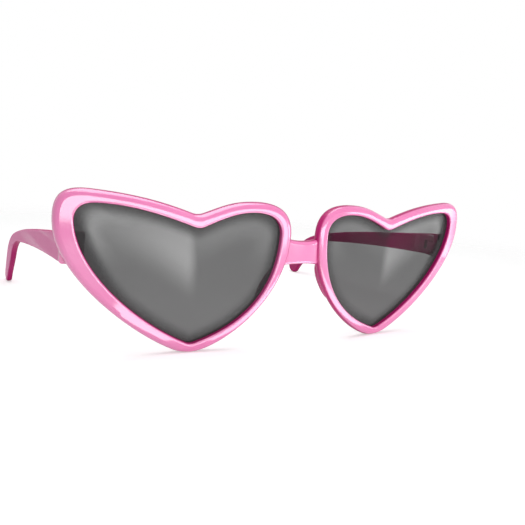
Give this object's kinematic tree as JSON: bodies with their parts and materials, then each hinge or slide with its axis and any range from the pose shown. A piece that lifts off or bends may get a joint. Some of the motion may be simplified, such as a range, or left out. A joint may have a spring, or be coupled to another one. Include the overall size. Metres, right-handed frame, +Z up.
{
  "type": "sunglasses",
  "caption": "Heart shaped sunglasses: a glossy moulded front with two heart rims, tinted lenses in grooves, and hooked temples that fold on screwed hinges.",
  "frame": {"origin": "on the floor under the middle of the opened sunglasses' box, which stand on the two heart tips and the two ear hooks", "axes": "+X to the wearer's left, +Y from the front to the ear hooks, +Z up"},
  "size_m": [0.1436, 0.1206, 0.0466],
  "materials": {
    "pink_plastic": "polished injection moulding",
    "grey_lens": "polished tinted polycarbonate",
    "screw_steel": "turned and slotted",
    "nut_brass": "machined"
  },
  "bodies": {
    "front": {"front_frame": "pink_plastic", "lens_left": "grey_lens", "lens_right": "grey_lens"},
    "left_temple": {"temple_left": "pink_plastic", "hinge_screw_left": "screw_steel", "hinge_nut_left": "nut_brass"},
    "right_temple": {"temple_right": "pink_plastic", "hinge_screw_right": "screw_steel", "hinge_nut_right": "nut_brass"}
  },
  "joints": [
    {"name": "left_temple_fold", "type": "hinge", "parent": "front", "child": "left_temple", "pos_m": [0.0654, -0.04603, 0.02648], "axis": [0, -0.0656, 0.9978], "range_deg": [0, 95]},
    {"name": "right_temple_fold", "type": "hinge", "parent": "front", "child": "right_temple", "pos_m": [-0.0654, -0.04603, 0.02648], "axis": [0, 0.0656, -0.9978], "range_deg": [0, 88]}
  ]
}
